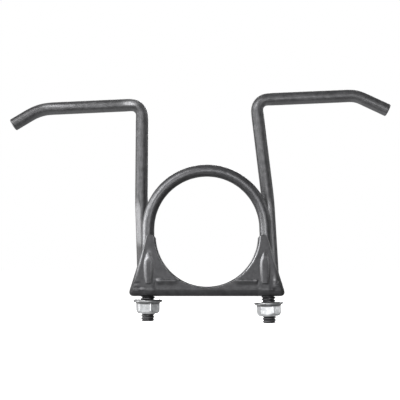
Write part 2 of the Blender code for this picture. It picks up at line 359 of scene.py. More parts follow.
def weld_metal():
    """Weld metal: grey, with sooty patches."""
    material, tree, shader = new_material("weld_metal")
    lay = attribute(tree, "lay").outputs["Vector"]
    clean = ramp(tree, noise_node(tree, lay, WELD_PATCH_SCALE), *WELD_PATCH_RANGE)
    grain = noise_node(tree, lay, WELD_GRAIN_SCALE, detail=3.0, roughness=0.7)
    tree.links.new(mix_colour(tree, clean, WELD_SOOTY, WELD_CLEAN), shader.inputs["Base Color"])
    shader.inputs["Metallic"].default_value = WELD_METALLIC
    roughness = ramp(tree, grain, *ROUGHNESS_RANGE, *WELD_ROUGHNESS)
    tree.links.new(roughness, shader.inputs["Roughness"])
    bump_into(tree, shader, grain, strength=0.4, distance=0.0001)
    return material


# ---------------------------------------------------------------- hanger rods

ROD_SIDES = 48
ROD_STEP = 0.0008
ROD_SHARP = 50  # degrees: steeper edges stay sharp
BACK_GAP = 2e-6  # points this near the CAD tube's rearmost line are taken as on it
BACK_DIGITS = 7
SAME_POINT = 1e-5
PATH_EASING = 4  # in steps along the rod
BEND_AVERAGE = 9

# a bend is measured as the bar's radius over the bend's radius
BEND_FLATTEN = 0.05
BEND_FLATTENED = 0.5  # flattened in full from here
BEND_RUBBED = 0.55  # and rubbed in full from here
BEND_WEAR = 0.25
BEND_WEAR_SIDE = (0.15, 0.95)

LEFT_FACET = (math.radians(-38), 0.0006, 0.28)  # (turned from the front, depth, wear)
RIGHT_FACET = (math.radians(15), 0.00010, 0.70)
FACET_RISE = (0.0300, 0.0200)
FACET_EDGE = 0.04
FACET_SPREAD = 0.035

# a scuff at the left arm's bend, then a painted highlight along the arm: (middle, reach along each
# axis, strength)
ROD_SCUFF_AND_HIGHLIGHT = (((-0.0575, 0.0117, 0.1001), (0.0046, 0.0030, 0.0015), 1.6),
              ((-0.1160, 0.0116, 0.0982), (0.0130, 0.0030, 0.0010), 0.4))
UNDERSIDE_SHEEN = 0.32  # painted reflection of the pale floor along the arms' undersides
UNDERSIDE_RISE = (0.45, 0.80)  # how far below the centreline, in radii

# painted shade: the rods darker towards their welds, and the U-bolt's painted shadow on the right rod
WELD_SHADE = 0.75
WELD_SHADE_RISE = ((-0.0020, -0.0100), (0.0290, 0.0110))  # heights on the left rod and the right
RIGHT_SHADOW_SIDE = (0.0009, -0.0008)  # the right rod's painted shadow from the U-bolt, on its left side only
LEFT_TIP_SHADE = 0.56  # painted shade: the left tip darker than its arm
LEFT_TIP_RISE = (-0.1210, -0.1290)
LEFT_TIP_SIDE = (-0.0032, 0.0022)

# rings of a sheared end: (how far in from the bar's side, how far out along the bar)
END_CHAMFER = 0.0005
END_RINGS = ((0.00012, 0.0), (END_CHAMFER, 0.00035), (0.0011, 0.00042),
             (0.0022, 0.00050), (0.0034, 0.00052))
END_WEAR = 0.55


def spine_of(node):
    """A rod's centreline, from its free end to its welded end, read off the CAD tube's back."""
    points = node_points(node)
    low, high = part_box(node)
    back = points[points[:, 1] > high.y - BACK_GAP]
    left = list(map(tuple, np.unique(np.round(back, BACK_DIGITS), axis=0)))
    here = max(left, key=lambda p: abs(p[0]))
    chain = [here]
    left.remove(here)
    while left:
        here = min(left, key=lambda p: math.dist(p, chain[-1]))
        left.remove(here)
        if math.dist(here, chain[-1]) > SAME_POINT:
            chain.append(here)
    chain = np.array(chain)
    chain[:, 1] = (low.y + high.y) / 2
    return chain, (high.y - low.y) / 2


def softened(points, radius_in_steps):
    """A run of points with its small corners eased, its ends kept."""
    window = np.hanning(2 * radius_in_steps + 3)[1:-1]
    window /= window.sum()
    before = 2 * points[0] - points[radius_in_steps:0:-1]
    after = 2 * points[-1] - points[-2:-radius_in_steps - 2:-1]
    padded = np.concatenate([before, points, after])
    return np.stack([np.convolve(padded[:, k], window, "valid") for k in range(3)], axis=1)


def bends_of(tangents, radius):
    """How tightly a rod bends at each of its points."""
    heading = np.unwrap(np.arctan2(tangents[:, 2], tangents[:, 0]))
    bend = np.abs(np.gradient(heading) / ROD_STEP)
    return np.convolve(bend, np.ones(BEND_AVERAGE) / BEND_AVERAGE, "same") * radius


def rod_wear_and_highlights(rings, path, radius, bend, across):
    """How worn each ring point is, outside the bends and where scuffed, with a painted reflection
    along the undersides and a painted highlight along the left arm.
    """
    rubbed = np.clip(bend / BEND_RUBBED, 0, 1)[:, None] * smoothstep(*BEND_WEAR_SIDE, across)
    down = (path[:, None, 2] - rings[..., 2]) / radius
    wear_and_painted_light = BEND_WEAR * rubbed + UNDERSIDE_SHEEN * smoothstep(*UNDERSIDE_RISE, down)
    for middle, reach, strength in ROD_SCUFF_AND_HIGHLIGHT:
        away = (rings - np.array(middle)) / np.array(reach)
        wear_and_painted_light = wear_and_painted_light + strength * np.exp(-(away ** 2).sum(axis=2))
    return wear_and_painted_light


def rod_rings(node, facet):
    """Rings of points round a rod: flattened in its bends, pressed flat along its lower run."""
    chain, radius = spine_of(node)
    chain_reach = reach_of(chain)
    stations = np.linspace(0.0, chain_reach[-1], int(chain_reach[-1] / ROD_STEP) + 1)
    path = softened(points_at(chain, chain_reach, stations), PATH_EASING)
    tangents = np.gradient(path, axis=0)
    tangents /= np.linalg.norm(tangents, axis=1)[:, None]
    normals = flat_normals(tangents)
    bend = bends_of(tangents, radius)

    angles = ring_angles(ROD_SIDES)
    squeeze = 1 - BEND_FLATTEN * np.clip(bend / BEND_FLATTENED, 0, 1)[:, None]
    across = np.cos(angles) * squeeze
    depth = np.sin(angles) * (2 - squeeze)

    turn, press, facet_wear = facet
    face_x = math.sin(turn) * normals[:, :1]
    face_y = -math.cos(turn)
    pressed = smoothstep(*FACET_RISE, path[:, 2])[:, None]
    towards_face = across * face_x + depth * face_y
    limit = 1 - press / radius * pressed
    over = np.maximum(towards_face - limit, 0.0)
    across = (across - over * face_x) * (1 + FACET_SPREAD * pressed)
    depth = depth - over * face_y

    rings = swept(path, normals, radius * across, radius * depth)
    face_wear = facet_wear * pressed * smoothstep(limit - FACET_EDGE, limit, towards_face)
    wear_and_painted_light = np.clip(face_wear + rod_wear_and_highlights(rings, path, radius, bend, across), 0, 1)
    along = np.repeat(stations[:, None], ROD_SIDES, axis=1)
    lay = np.stack([across * radius, depth * radius, along], axis=2)
    return rings, lay, wear_and_painted_light, tangents


def sheared_end(ring, lay, outwards):
    """Rings of a sheared end: a small chamfer and a slightly domed face."""
    centre = ring.mean(axis=0)
    spokes = ring - centre
    length = np.linalg.norm(spokes, axis=1)[:, None]
    rings = []
    lays = []
    for inset, push in END_RINGS:
        shrink = (length - inset) / length
        rings.append(centre + spokes * shrink + outwards * (push - END_CHAMFER))
        lays.append(lay * np.array([shrink.mean(), shrink.mean(), 1.0]))
    return rings, lays


def with_ends(rings, lay, wear_and_painted_light, tangents):
    """A bar's rings with sheared ends in place of the first and the last."""
    first, first_lay = sheared_end(rings[0], lay[0], -tangents[0])
    last, last_lay = sheared_end(rings[-1], lay[-1], tangents[-1])
    all_rings = np.array(first[::-1] + list(rings[1:-1]) + last)
    all_lay = np.array(first_lay[::-1] + list(lay[1:-1]) + last_lay)
    end_wear = np.full((len(END_RINGS), rings.shape[1]), END_WEAR)
    return all_rings, all_lay, np.concatenate([end_wear, wear_and_painted_light[1:-1], end_wear])


def rod_shade(rings, lay):
    """How much painted shade each ring point gets: towards the welds, as the U-bolt's shadow on the
    right rod, and at the left tip.
    """
    right = int(rings[0, 0, 0] > 0)
    painted_shade = WELD_SHADE * smoothstep(*WELD_SHADE_RISE[right], rings[..., 2])
    if right:
        # the U-bolt's painted shadow, on the right rod's left side only
        return painted_shade * smoothstep(*RIGHT_SHADOW_SIDE, lay[..., 0])
    tip = smoothstep(*LEFT_TIP_RISE, rings[..., 0]) * smoothstep(*LEFT_TIP_SIDE, lay[..., 0])
    return painted_shade + LEFT_TIP_SHADE * tip


def build_rod(node, facet, material):
    rings, lay, wear_and_painted_light = with_ends(*rod_rings(node, facet))
    mesh = skin(node + "_bar", rings, ROD_SHARP)
    store(mesh, "lay", "FLOAT_VECTOR", lay)
    store(mesh, "wear_and_painted_light", "FLOAT", wear_and_painted_light)
    store(mesh, "painted_shade", "FLOAT", rod_shade(rings, lay))
    return add_piece(node + "_bar", mesh, "saddle_and_rods", "rod_steel", material, node)


# ---------------------------------------------------------------- U-bolt

WIRE_RADIUS = 0.0045
BOLT_SIDES = 64
BOLT_STEP = 0.0008  # along the plain wire
BOLT_SHARP = 60  # degrees
ARC_POINTS = 181
TIP_FACE = 0.0004  # a leg's end face is looked for this far up from its lowest point
TANGENT_REACH = 0.0003
WIRE_RIPPLE = 0.00002  # the plain wire isn't perfectly round
RIPPLE_LOBES = 7
RIPPLE_TWIST = 900  # radians to the metre

THREAD_PITCH = 0.0020
THREAD_CREST = 0.00506
THREAD_ROOT = 0.00418
THREAD_FLANK = (0.16, 0.84)  # from the crest's middle to the root's, as shares
THREAD_LENGTH = 0.0340
THREAD_STEP = THREAD_PITCH / 20
THREAD_END_CHAMFER = 0.0005
THREAD_FADE = 1.6 * THREAD_PITCH

# rings of a leg's end face: (share of the leg's radius, how far out)
LEG_END_RINGS = ((0.80, 0.00012), (0.45, 0.00016), (0.15, 0.00017))
LEG_END_WEAR = 0.3
CREST_WEAR = 0.22
WIRE_WEAR = 0.10

# rubbed stretches of the U-bolt: (angle round the wire from outwards, half width, wear)
LEFT_RUB = (math.radians(-33), math.radians(45), 0.50)
RIGHT_RUB = (math.radians(-122), math.radians(40), 0.28)
RUB_FOOT = (-0.030, -0.010)
RUB_TOP = (0.034, 0.004)
RUB_CORE = 0.6  # the share of the half width that is rubbed in full


def thread_profile(turns):
    """1 on the crest of a thread and 0 at its root, for a position counted in turns."""
    from_crest = np.abs((turns + 0.5) % 1.0 - 0.5) * 2
    return 1 - smoothstep(*THREAD_FLANK, from_crest)


def bolt_path():
    """The U-bolt's centreline from its left tip round to its right tip."""
    points = node_points("u_bolt")
    _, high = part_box("u_bolt")

    def tip(side):
        leg = points[points[:, 0] * side > 0]
        face = leg[leg[:, 2] < leg[:, 2].min() + TIP_FACE]
        return np.array([(face[:, 0].min() + face[:, 0].max()) / 2, 0.0, face[:, 2].mean()])

    left_tip = tip(-1)
    right_tip = tip(1)
    bend_radius = -left_tip[0]
    centre_z = high.z - WIRE_RADIUS - bend_radius
    turn = np.linspace(math.pi, 0.0, ARC_POINTS)
    arc = np.stack([bend_radius * np.cos(turn), np.zeros(ARC_POINTS),
                    centre_z + bend_radius * np.sin(turn)], axis=1)
    return np.concatenate([[left_tip], arc, [right_tip]])


def bolt_stations(total):
    """Distances along the U-bolt, close together where it is threaded."""
    thread = THREAD_LENGTH + THREAD_FADE
    low = np.arange(0.0, thread, THREAD_STEP)
    middle = np.linspace(thread, total - thread, int((total - 2 * thread) / BOLT_STEP))
    return np.concatenate([low, middle, total - low[::-1]])


def bolt_surface(stations, total, angles):
    """At each ring point: the radius, 1 on a thread's crest, and 1 where the wire is threaded."""
    from_left = stations[:, None]
    from_right = (total - stations)[:, None]
    near = np.minimum(from_left, from_right)
    # both threads are right-handed, so the right leg's turns the other way along the path
    left_turns = from_left / THREAD_PITCH + angles / (2 * math.pi)
    right_turns = from_right / THREAD_PITCH - angles / (2 * math.pi)
    crest = thread_profile(np.where(from_left < from_right, left_turns, right_turns))
    threaded = smoothstep(THREAD_LENGTH + THREAD_FADE, THREAD_LENGTH, near)
    thread_radius = THREAD_ROOT + (THREAD_CREST - THREAD_ROOT) * crest
    radius = WIRE_RADIUS + (thread_radius - WIRE_RADIUS) * threaded
    radius = np.minimum(radius, THREAD_CREST - THREAD_END_CHAMFER + near)
    ripple = WIRE_RIPPLE * np.sin(RIPPLE_LOBES * angles + from_left * RIPPLE_TWIST)
    return radius + ripple * (1 - threaded), crest, threaded


def bolt_wear(points, angles, crest, threaded):
    """How bare each ring point is: on the thread's crests, on the plain wire and where rubbed."""
    heights = points[:, 2:]
    on_left = points[:, :1] < 0
    middle, half, strength = (np.where(on_left, left, right)
                              for left, right in zip(LEFT_RUB, RIGHT_RUB))
    off = np.abs((angles - middle + math.pi) % (2 * math.pi) - math.pi)
    rubbed = smoothstep(*RUB_FOOT, heights) * smoothstep(*RUB_TOP, heights)
    rub = strength * rubbed * smoothstep(half, half * RUB_CORE, off)
    return np.clip(CREST_WEAR * crest * threaded + WIRE_WEAR * (1 - threaded) + rub, 0, 1)


def leg_end(ring, centre, outwards):
    """Rings of a leg's slightly domed end face."""
    return np.array([centre + (ring - centre) * share + outwards * push
                     for share, push in LEG_END_RINGS])


def build_u_bolt(material):
    path = bolt_path()
    reach = reach_of(path)
    stations = bolt_stations(reach[-1])
    points = points_at(path, reach, stations)
    ahead = points_at(path, reach, stations + TANGENT_REACH)
    behind = points_at(path, reach, stations - TANGENT_REACH)
    tangents = ahead - behind
    tangents /= np.linalg.norm(tangents, axis=1)[:, None]
    angles = ring_angles(BOLT_SIDES)
    radius, crest, threaded = bolt_surface(stations, reach[-1], angles)
    rings = swept(points, flat_normals(tangents), radius * np.cos(angles), radius * np.sin(angles))
    left_end = leg_end(rings[0], points[0], -tangents[0])
    right_end = leg_end(rings[-1], points[-1], tangents[-1])
    rings = np.concatenate([left_end[::-1], rings, right_end])
    mesh = skin("threaded_u_bolt", rings, BOLT_SHARP)

    ends = len(LEG_END_RINGS)
    wear_and_painted_light = np.pad(bolt_wear(points, angles, crest, threaded), ((ends, ends), (0, 0)),
                  constant_values=LEG_END_WEAR)
    along = np.repeat(np.pad(stations, ends, mode="edge")[:, None], BOLT_SIDES, axis=1)
    across = np.repeat(np.cos(angles) * WIRE_RADIUS, len(rings), axis=0)
    depth = np.repeat(np.sin(angles) * WIRE_RADIUS, len(rings), axis=0)
    store(mesh, "lay", "FLOAT_VECTOR", np.stack([across, depth, along], axis=2))
    store(mesh, "wear_and_painted_light", "FLOAT", wear_and_painted_light)
    return add_piece("threaded_u_bolt", mesh, "u_bolt", "bolt_steel", material, "u_bolt")


# ---------------------------------------------------------------- saddle

WALL_Y = 0.0110
INNER_Y = WALL_Y - 0.0028
PIPE_RADIUS = 0.0381
SADDLE_VOXEL = 0.00042
MERGE_GAP = 1e-6
SOFTEN_FACTOR = 0.5
SOFTEN_TIMES = 5
HORN_TIP_X = 0.0411
HORN_TIP_RADIUS = 0.0031
SEAT_SKIN = (-0.0005, 0.00012)  # the remeshed seat's points lie this far off the pipe
SEAT_TOP = -0.0015
WALL_RISE = (INNER_Y - 0.0022, INNER_Y - 0.0004)  # reliefs are pressed into the walls only
UNEVEN_SCALE = 90.0
UNEVEN_SEED = 1
UNEVEN_HEIGHT = 0.00009

# the CAD model's plain ribs, which are pressed flat
CAD_RIB_HALF_X = 0.0042
CAD_RIB_TOP = -0.0098
CAD_RIB_FOOT = -0.0375
CAD_RIB_OUTER_Y = WALL_Y - 0.0004  # outwards of this
CAD_RIB_INNER_Y = (INNER_Y - 0.0006, INNER_Y + 0.0016)  # and between these

RIB_X = 0.0418
RIB_TOP = -0.0112
RIB_FOOT = -0.0360
RIB_HALF_WIDTH = 0.0036
RIB_LEAST_HALF = 1e-5
RIB_HEIGHT = 0.0015
RIB_WIDEST = 0.45  # how far down the rib it is widest
RIB_FOOT_WIDTH = 0.72  # its width at the foot, against its widest
RIB_POINT = 0.9  # the lower, the blunter its top
LEFT_KEEL = 2.2  # the higher, the flatter its back
RIGHT_KEEL = 3.6
RIB_RISE = (0.0, 0.30)  # how far down the rib, as a share
RIB_FALL = (0.955, 1.0)

# a low column, down from each rib
COLUMN_HEIGHT = 0.0006
COLUMN_RISE = (-0.0290, -0.0360)
COLUMN_SIDE_FALL = (0.0018, 0.0058)

# a raised crease inwards of each rib, and the fold line along the walls' foot
CREASE_TOP = -0.0319
CREASE_INNER_X = 0.0205
CREASE_OUTER_X = 0.0366
CREASE_HEIGHT = 0.0009
CREASE_X_RISE = (CREASE_INNER_X - 0.0010, CREASE_INNER_X + 0.0030)
CREASE_X_FALL = (CREASE_OUTER_X - 0.0005, CREASE_OUTER_X + 0.0003)
CREASE_RISE = (CREASE_TOP, CREASE_TOP - 0.0008)
CREASE_FALL = (CREASE_TOP - 0.0006, CREASE_TOP - 0.0050)
FOLD_LINE_HEIGHT = 0.00025
FOLD_LINE_RISE = (-0.0382, -0.0389)
FOLD_LINE_FALL = (-0.0390, -0.0416)

# two creases across each lower corner: (height, how strongly it curves down)
CORNER_CREASES = ((-0.0350, 60.0), (-0.0384, 25.0))
CORNER_CREASE_DEPTH = 0.00042
CORNER_CREASE_WIDTH = 0.00105
CORNER_CREASE_RISE = (0.0466, 0.0500)
CORNER_CREASE_FALL = (0.0515, 0.0540)
CORNER_CURVE_X = 0.0495

# a knob and a nick near each end of both walls: (height, x, z, reach in x, reach in z)
DENTS = ((0.0005, 0.0472, -0.0394, 0.0012, 0.0009),
         (-0.0004, 0.0366, -0.0345, 0.0009, 0.0016))

# handling scuffs on the front wall: (x, z, reach in x, reach in z, strength)
FRONT_SCUFFS = ((-0.0352, -0.0324, 0.0016, 0.0009, 0.9), (-0.0418, -0.0150, 0.0016, 0.0040, 0.5),
                (0.0484, -0.0330, 0.0008, 0.0030, 1.0), (0.0522, -0.0342, 0.0020, 0.0008, 0.8),
                (0.0344, -0.0330, 0.0015, 0.0007, 0.5), (-0.0470, -0.0389, 0.0010, 0.0007, 0.6))
FRONT_RISE = (-WALL_Y + 0.0012, -WALL_Y + 0.0002)

# how bare the ribs' flanks are, how bare and lit by painted highlight the folds and the crease's top
# are, how strong the painted highlight along the seat's edge is, and where
SCRATCH_SCALE = 700.0
SCRATCH_SEED = 2
# worn folds with a painted highlight, fading towards the foot
FOLD_WEAR_AND_HIGHLIGHT = 0.65
FOLD_TURN = (0.15, 0.6)
FOLD_HIGHLIGHT_RISE = (-0.040, -0.014)
# a painted highlight along the seat's edge, on its right half only
SEAT_HIGHLIGHT = 1.50
SEAT_EDGE_FALL = (0.0002, 0.0011)
SEAT_HIGHLIGHT_Y = (WALL_Y - 0.0012, WALL_Y - 0.0003)
SEAT_HIGHLIGHT_X = (0.006, 0.024)
SEAT_HIGHLIGHT_Z = (-0.034, -0.022)
RIDGE_WEAR = 0.30
RIDGE_RISE = (0.35, 0.75)
RIDGE_FALL = (0.75, 1.0)
# the crease's top worn and painted lighter as a highlight
CREASE_WEAR_AND_HIGHLIGHT = 0.26
CREASE_HIGHLIGHT_WIDTH = 0.0004

# painted shade in the flanks' rounded edges, towards the foot, dimming their highlight
FLANK_SHADE = 0.40
FLANK_X = (0.0440, 0.0500)
FLANK_Z = (-0.016, -0.030)
ROUNDED_X = (0.10, 0.45)
ROUNDED_Y = (0.10, 0.40)


def remeshed_saddle():
    """The CAD saddle as a fine, evenly spaced skin with softened edges."""
    mesh = frame["nodes"]["saddle"].data.copy()
    bm = bmesh.new()
    bm.from_mesh(mesh)
    bmesh.ops.remove_doubles(bm, verts=bm.verts, dist=MERGE_GAP)
    bm.to_mesh(mesh)
    bm.free()
    rough = bpy.data.objects.new("rough_saddle", mesh)
    bpy.context.scene.collection.objects.link(rough)
    remesh = rough.modifiers.new("skin", "REMESH")
    remesh.mode = "VOXEL"
    remesh.voxel_size = SADDLE_VOXEL
    soften = rough.modifiers.new("soften", "SMOOTH")
    soften.factor = SOFTEN_FACTOR
    soften.iterations = SOFTEN_TIMES
    graph = bpy.context.evaluated_depsgraph_get()
    fine = bpy.data.meshes.new_from_object(rough.evaluated_get(graph))
    bpy.data.objects.remove(rough, do_unlink=True)
    return fine


def without_ribs(points):
    """Presses the CAD model's plain ribs flat, inside and outside, to make room for finer ones."""
    from_rib = np.abs(np.abs(points[:, 0]) - RIB_X)
    z = points[:, 2]
    near_rib = (from_rib < CAD_RIB_HALF_X) & (z > CAD_RIB_FOOT) & (z < CAD_RIB_TOP)
    depth = np.abs(points[:, 1])
    outside = near_rib & (depth > CAD_RIB_OUTER_Y)
    inside = near_rib & (depth > CAD_RIB_INNER_Y[0]) & (depth < CAD_RIB_INNER_Y[1])
    depth = np.where(outside, np.minimum(depth, WALL_Y), depth)
    depth = np.where(inside, INNER_Y, depth)
    flat = points.copy()
    flat[:, 1] = np.sign(points[:, 1]) * depth
    return flat


def with_round_horns(points):
    """Rounds the tip of each horn to a half circle."""
    off_x = np.abs(points[:, 0]) - HORN_TIP_X
    off_z = points[:, 2] + HORN_TIP_RADIUS
    reach = np.hypot(off_x, off_z)
    shrink = np.where((off_z > 0) & (reach > HORN_TIP_RADIUS), HORN_TIP_RADIUS / reach, 1.0)
    rounded = points.copy()
    rounded[:, 0] = np.sign(points[:, 0]) * (HORN_TIP_X + off_x * shrink)
    rounded[:, 2] = off_z * shrink - HORN_TIP_RADIUS
    return rounded


def with_true_seat(points):
    """Moves the points of the seat's surface onto the pipe's own cylinder."""
    reach = np.hypot(points[:, 0], points[:, 2])
    on_seat = ((reach > PIPE_RADIUS + SEAT_SKIN[0]) & (reach < PIPE_RADIUS + SEAT_SKIN[1])
               & (points[:, 2] < SEAT_TOP))
    scale = np.where(on_seat, PIPE_RADIUS / reach, 1.0)
    return points * np.stack([scale, np.ones_like(scale), scale], axis=1)


def rib_relief(x, z):
    """A pressed lens over a leg: pointed at the top, blunt at the foot, ridged like a keel."""
    along = np.clip((RIB_TOP - z) / (RIB_TOP - RIB_FOOT), 0, 1)
    growing = np.sin(math.pi / 2 * np.clip(along / RIB_WIDEST, 0, 1)) ** RIB_POINT
    past_widest = np.clip((along - RIB_WIDEST) / (1 - RIB_WIDEST), 0, 1)
    shrinking = 1 - (1 - RIB_FOOT_WIDTH) * past_widest ** 2
    half = np.maximum(RIB_HALF_WIDTH * growing * shrinking, RIB_LEAST_HALF)
    across = np.clip(np.abs(np.abs(x) - RIB_X) / half, 0, 1)
    keel = 1 - across ** np.where(x < 0, LEFT_KEEL, RIGHT_KEEL)
    return RIB_HEIGHT * keel * band(along, RIB_RISE, RIB_FALL)


def pressing(x, z):
    """How far the walls stand out of their plane at a point of the front view."""
    side = np.abs(x)
    column = (COLUMN_HEIGHT * smoothstep(*COLUMN_RISE, z)
              * (1 - smoothstep(*COLUMN_SIDE_FALL, np.abs(side - RIB_X))))
    relief = np.maximum(rib_relief(x, z), column)
    relief += (CREASE_HEIGHT * band(side, CREASE_X_RISE, CREASE_X_FALL)
               * band(z, CREASE_RISE, CREASE_FALL))
    relief += FOLD_LINE_HEIGHT * band(z, FOLD_LINE_RISE, FOLD_LINE_FALL)
    for height, curve in CORNER_CREASES:
        line = height - curve * np.maximum(side - CORNER_CURVE_X, 0.0) ** 2
        relief -= (CORNER_CREASE_DEPTH * np.exp(-((z - line) / CORNER_CREASE_WIDTH) ** 2)
                   * band(side, CORNER_CREASE_RISE, CORNER_CREASE_FALL))
    for height, *place in DENTS:
        relief += height * spot(side, z, *place)
    return relief


def saddle_wear_and_highlights(points, normals, bulge, in_wall):
    """How bare each point is, with painted highlights: folds and the crease's top worn and painted
    lighter, the seat's edge painted lighter, ribs' flanks and scuffs worn.
    """
    x, y, z = points.T
    scratchy = 0.5 + 0.5 * field_noise(points, SCRATCH_SCALE, SCRATCH_SEED)
    turned = smoothstep(*FOLD_TURN, np.abs(normals))
    fold = turned[:, 0] * turned[:, 1] * smoothstep(*FOLD_HIGHLIGHT_RISE, z)
    seat_highlight = ((1 - smoothstep(*SEAT_EDGE_FALL, np.hypot(x, z) - PIPE_RADIUS))
                 * smoothstep(*SEAT_HIGHLIGHT_Y, np.abs(y))
                 * smoothstep(*SEAT_HIGHLIGHT_X, x) * smoothstep(*SEAT_HIGHLIGHT_Z, z))
    ridge = band(bulge / RIB_HEIGHT, RIDGE_RISE, RIDGE_FALL)
    crease_top = np.exp(-((z - CREASE_TOP + CREASE_HIGHLIGHT_WIDTH) / CREASE_HIGHLIGHT_WIDTH) ** 2)
    on_crease = (np.abs(x) > CREASE_INNER_X) & (np.abs(x) < CREASE_OUTER_X)
    wear_and_painted_light = FOLD_WEAR_AND_HIGHLIGHT * fold + scratchy * (SEAT_HIGHLIGHT * seat_highlight + RIDGE_WEAR * ridge
                                          + CREASE_WEAR_AND_HIGHLIGHT * crease_top * on_crease * in_wall)
    front = smoothstep(*FRONT_RISE, y)
    for *place, strength in FRONT_SCUFFS:
        wear_and_painted_light += strength * scratchy * front * spot(x, z, *place)
    return np.clip(wear_and_painted_light, 0, 1)


def saddle_shade(points, normals):
    """How much painted shade each point gets, in the flanks' rounded edges towards the foot."""
    flank = smoothstep(*FLANK_X, np.abs(points[:, 0])) * smoothstep(*FLANK_Z, points[:, 2])
    rounded = (smoothstep(*ROUNDED_X, np.abs(normals[:, 0]))
               * smoothstep(*ROUNDED_Y, np.abs(normals[:, 1])))
    return FLANK_SHADE * flank * rounded


def build_saddle(material):
    mesh = remeshed_saddle()
    points = with_true_seat(with_round_horns(without_ribs(mesh_points(mesh))))
    in_wall = smoothstep(*WALL_RISE, np.abs(points[:, 1]))
    bulge = pressing(points[:, 0], points[:, 2]) * in_wall
    points[:, 1] += np.sign(points[:, 1]) * bulge
    points[:, 1] += UNEVEN_HEIGHT * field_noise(points, UNEVEN_SCALE, UNEVEN_SEED)
    mesh.vertices.foreach_set("co", points.ravel())
    mesh.update()

    mesh.shade_smooth()
    normals = np.empty(3 * len(mesh.vertices))
    mesh.vertex_normals.foreach_get("vector", normals)
    normals = normals.reshape(-1, 3)
    store(mesh, "lay", "FLOAT_VECTOR", points)
    store(mesh, "wear_and_painted_light", "FLOAT", saddle_wear_and_highlights(points, normals, bulge, in_wall))
    store(mesh, "painted_shade", "FLOAT", saddle_shade(points, normals))
    return add_piece("pressed_saddle", mesh, "saddle_and_rods", "saddle_steel", material, "saddle")


# ---------------------------------------------------------------- nuts

# depths are measured down from the bearing face
NUT_SIDES = 192
NUT_SHARP = 38  # degrees
NUT_TURN = math.radians(18)
NUT_HEIGHT = 0.0101
NUT_HALF_FLATS = 0.0079
NUT_CORNER_SOFTNESS = 0.00014

NUT_FACE_RADIUS = 0.0091
NUT_FLANGE_RADIUS = 0.0106
NUT_FLANGE_RIM = 0.0020
NUT_RIM_ROUND = 0.0010
NUT_RIM_RINGS = 13

NUT_CONE_FOOT = 0.0030
NUT_CONE_RADIUS = 0.0078
NUT_CONE_SOFTNESS = 0.0006
NUT_CHAMFER_RADIUS = 0.0072
NUT_CHAMFER_SLOPE = math.tan(math.radians(42))
NUT_CHAMFER_SOFTNESS = 0.0010
NUT_END_RADIUS = NUT_CHAMFER_RADIUS - 0.0006

# depths of the rings down the cone, the hexagon and the chamfered end: (first, last, how many)
NUT_BODY_RUNS = ((NUT_FLANGE_RIM + 0.0001, NUT_CONE_FOOT + 0.0006, 22),
                 (NUT_CONE_FOOT + 0.0009, NUT_HEIGHT - 0.0024, 8),
                 (NUT_HEIGHT - 0.0022, NUT_HEIGHT, 18))

NUT_BORE = 0.00530
NUT_TOP_MOUTH = ((NUT_BORE + 0.0006, 0.00015), (NUT_BORE + 0.0011, 0.0))  # its rings: (radius, depth)
NUT_END_MOUTH_RADIUS = NUT_BORE + 0.0007
NUT_MOUTH_DEPTH = 0.0006  # the bore's thread starts this far in from both of its mouths
NUT_THREAD_DEPTH = 0.00035
NUT_THREAD_STEP = THREAD_PITCH / 12

# painted shade on the nuts: the flange's outer edge and the fillet under it darkened
RIM_SHADE = 0.75
RIM_SHADE_RISE = (NUT_FLANGE_RADIUS - 0.00050, NUT_FLANGE_RADIUS - 0.00012)
FILLET_SHADE = 0.80
FILLET_SHADE_RISE = (NUT_FLANGE_RIM - 0.0006, NUT_FLANGE_RIM + 0.0002)
FILLET_SHADE_END = (NUT_CONE_FOOT + 0.0007, NUT_CONE_FOOT - 0.0001)


def hexagon(angles):
    """Distance to a hexagon's side along each angle, with eased corners."""
    from_middle = (angles + math.pi / 6) % (math.pi / 3) - math.pi / 6
    sharp = NUT_HALF_FLATS / np.cos(from_middle)
    corner = NUT_HALF_FLATS / math.cos(math.pi / 6) - NUT_CORNER_SOFTNESS
    return -smooth_max(-sharp, -corner, NUT_CORNER_SOFTNESS)


def nut_body(hexagonal, depth):
    """The nut's radius below its rim: the cone, the hexagon, or the chamfer at its end."""
    cone_top = NUT_FLANGE_RADIUS - NUT_RIM_ROUND
    fall = (depth - NUT_FLANGE_RIM) / (NUT_CONE_FOOT - NUT_FLANGE_RIM)
    cone = cone_top + (NUT_CONE_RADIUS - cone_top) * fall
    chamfer = NUT_CHAMFER_RADIUS + (NUT_HEIGHT - depth) / NUT_CHAMFER_SLOPE
    body = -smooth_max(-hexagonal, -chamfer, NUT_CHAMFER_SOFTNESS)
    return smooth_max(body, cone, NUT_CONE_SOFTNESS)


def nut_rings():
    """Rings round a nut's skin: bearing face, flange rim, cone, hexagon, end face and bore."""
    angles = ring_angles(NUT_SIDES)[0]
    hexagonal = hexagon(angles)
    rows = []

    def row(radius, depth):
        radius = np.broadcast_to(radius, angles.shape)
        rows.append(np.stack([radius * np.cos(angles), radius * np.sin(angles),
                              np.broadcast_to(-depth, angles.shape)], axis=1))

    for ring in NUT_TOP_MOUTH:
        row(*ring)
    row(NUT_FACE_RADIUS, 0.0)
    for turn in np.linspace(0, math.pi, NUT_RIM_RINGS):
        row(NUT_FLANGE_RADIUS - NUT_RIM_ROUND * (1 - math.sin(turn)),
            NUT_FLANGE_RIM / 2 * (1 - math.cos(turn)))
    for run in NUT_BODY_RUNS:
        for depth in np.linspace(*run):
            row(nut_body(hexagonal, depth), depth)
    row(NUT_END_RADIUS, NUT_HEIGHT)
    row(NUT_END_MOUTH_RADIUS, NUT_HEIGHT)
    for depth in np.arange(NUT_HEIGHT - NUT_MOUTH_DEPTH, NUT_MOUTH_DEPTH, -NUT_THREAD_STEP):
        turns = -depth / THREAD_PITCH - angles / (2 * math.pi)
        row(NUT_BORE + NUT_THREAD_DEPTH * (1 - thread_profile(turns)), depth)
    return np.array(rows)


